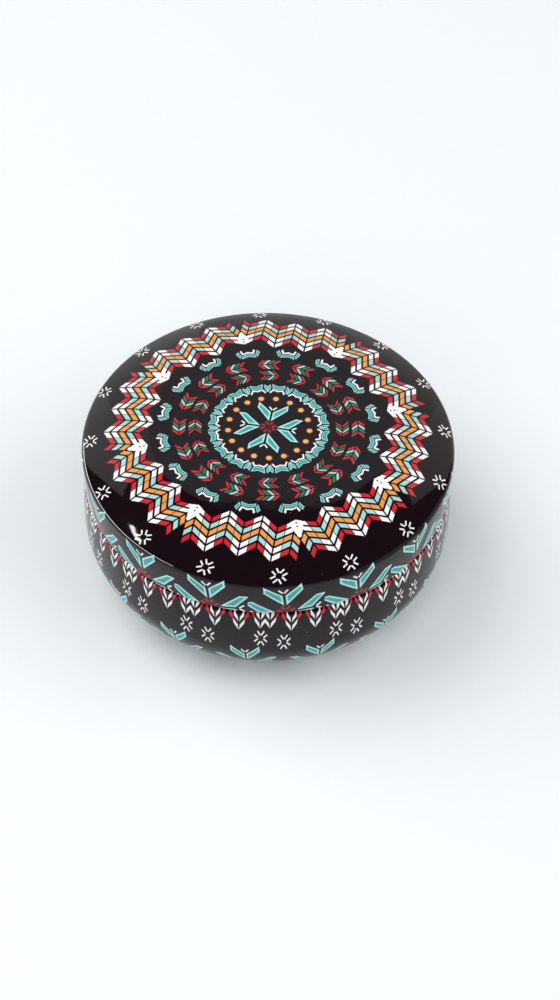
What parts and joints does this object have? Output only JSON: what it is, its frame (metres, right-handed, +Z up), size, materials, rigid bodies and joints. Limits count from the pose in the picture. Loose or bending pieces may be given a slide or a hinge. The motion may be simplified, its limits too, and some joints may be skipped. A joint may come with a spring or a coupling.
{
  "type": "round lidded tin",
  "caption": "Small round storage tin with a bulged seamless body, a necked curled mouth and a slip lid with a folk-knit print.",
  "frame": {"origin": "middle of the standing ring under the base, on the surface that the tin stands on", "axes": "+Z up along the tin's axis of revolution and the way the lid lifts; -Y is the side nearest the viewer"},
  "size_m": [0.0812, 0.0812, 0.038],
  "materials": {
    "body_tinplate": "offset-printed tinplate under glossy clear varnish, near-black ground",
    "lid_tinplate": "offset-printed tinplate under glossy clear varnish, near-black ground"
  },
  "bodies": {
    "body": {"tin_body": "body_tinplate"},
    "lid": {"lid": "lid_tinplate"}
  },
  "joints": [
    {"name": "lid_lift", "type": "slide", "parent": "body", "child": "lid", "axis": [0, 0, 1], "range_m": [0, 0.03]}
  ]
}
